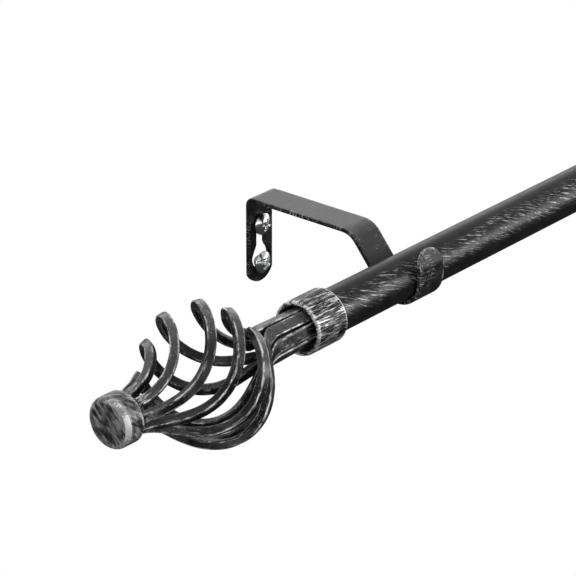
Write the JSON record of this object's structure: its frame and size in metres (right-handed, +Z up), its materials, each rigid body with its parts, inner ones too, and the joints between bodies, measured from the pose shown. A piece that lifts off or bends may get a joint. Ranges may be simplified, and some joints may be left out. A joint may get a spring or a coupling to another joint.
{
  "type": "curtain rod with brackets",
  "caption": "Telescoping steel curtain rod with twisted basket finials, resting in two bent strip wall brackets with keyhole plates.",
  "frame": {"origin": "where the left bracket's upper screw enters the wall, at the height of the rod's axis", "axes": "+X along the rod to the right, +Y into the wall, +Z up"},
  "size_m": [0.9, 0.1255, 0.0506],
  "materials": {
    "tube_finish": "black lacquer with brushed silver patina",
    "bracket_finish": "black lacquer with brushed silver patina",
    "cage_finish": "black lacquer with silver rubbed edges",
    "turned_finish": "heavily brushed silver over black",
    "screw_plating": "polished plating",
    "set_screw_steel": "black oxide",
    "plain_steel": "unpainted weld plug",
    "bush_plastic": "matt moulded",
    "adapter_plastic": "matt moulded"
  },
  "bodies": {
    "wall_brackets": {"left_bracket": "bracket_finish", "left_upper_wall_screw": "screw_plating", "left_lower_wall_screw": "screw_plating", "right_bracket": "bracket_finish", "right_upper_wall_screw": "screw_plating", "right_lower_wall_screw": "screw_plating"},
    "outer_rod": {"outer_tube": "tube_finish"},
    "inner_rod": {"inner_tube": "tube_finish", "inner_tube_glide": "bush_plastic", "finial_adapter": "adapter_plastic"},
    "left_finial": {"left_collar": "turned_finish", "left_neck_plug": "plain_steel", "left_end_cap": "turned_finish", "left_cage_bar_1": "cage_finish", "left_cage_bar_2": "cage_finish", "left_cage_bar_3": "cage_finish", "left_cage_bar_4": "cage_finish", "left_cage_bar_5": "cage_finish", "left_cage_bar_6": "cage_finish", "left_cage_bar_7": "cage_finish", "left_cage_bar_8": "cage_finish"},
    "right_finial": {"right_collar": "turned_finish", "right_neck_plug": "plain_steel", "right_end_cap": "turned_finish", "right_cage_bar_1": "cage_finish", "right_cage_bar_2": "cage_finish", "right_cage_bar_3": "cage_finish", "right_cage_bar_4": "cage_finish", "right_cage_bar_5": "cage_finish", "right_cage_bar_6": "cage_finish", "right_cage_bar_7": "cage_finish", "right_cage_bar_8": "cage_finish"},
    "left_grub": {"left_set_screw": "set_screw_steel"},
    "right_grub": {"right_set_screw": "set_screw_steel"}
  },
  "joints": [
    {"name": "rod_lift", "type": "slide", "parent": "wall_brackets", "child": "outer_rod", "axis": [0, 0.3746, 0.9272], "range_m": [0, 0.04]},
    {"name": "rod_extension", "type": "slide", "parent": "outer_rod", "child": "inner_rod", "axis": [1, 0, 0], "range_m": [0, 0.508]},
    {"name": "left_finial_pull", "type": "slide", "parent": "outer_rod", "child": "left_finial", "axis": [-1, 0, 0], "range_m": [0, 0.03]},
    {"name": "right_finial_pull", "type": "slide", "parent": "inner_rod", "child": "right_finial", "axis": [1, 0, 0], "range_m": [0, 0.03]},
    {"name": "left_set_screw_out", "type": "slide", "parent": "left_finial", "child": "left_grub", "axis": [0, -0.9511, -0.309], "range_m": [0, 0.003]},
    {"name": "right_set_screw_out", "type": "slide", "parent": "right_finial", "child": "right_grub", "axis": [0, 0.9511, -0.309], "range_m": [0, 0.003]}
  ]
}
